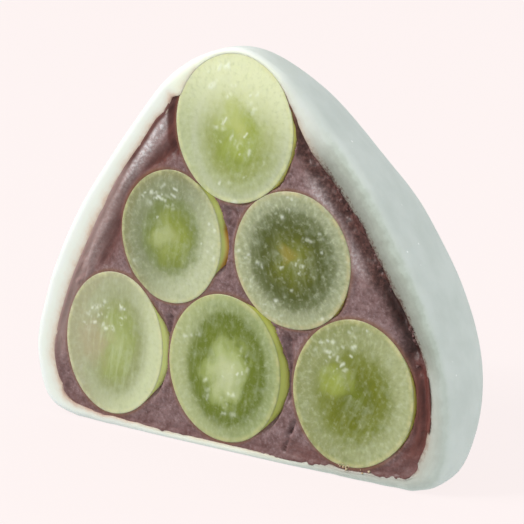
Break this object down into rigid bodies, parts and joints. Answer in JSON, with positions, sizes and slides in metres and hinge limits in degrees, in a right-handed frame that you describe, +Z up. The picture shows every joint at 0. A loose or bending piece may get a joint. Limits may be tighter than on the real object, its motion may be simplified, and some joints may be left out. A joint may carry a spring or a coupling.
{
  "type": "filled rice cake half",
  "caption": "Half of a filled mochi rice cake standing on its flat base, cut open to show white dough, red bean paste and six cut green grapes.",
  "frame": {"origin": "under the middle of the bounding box, on the flat base", "axes": "+X to the right across the cut face seen from the front, +Y from the cut face to the rounded back, +Z up"},
  "size_m": [0.0818, 0.0306, 0.0663],
  "materials": {
    "dough": "soft, slightly translucent white rice dough, satin",
    "paste": "moist, rough red bean paste",
    "grape": "wet, translucent green grape flesh"
  },
  "bodies": {
    "root": {"dough_skin": "dough", "bean_paste": "paste", "grape_top": "grape", "grape_mid_left": "grape", "grape_mid_right": "grape", "grape_low_left": "grape", "grape_low_mid": "grape", "grape_low_right": "grape"}
  },
  "joints": []
}
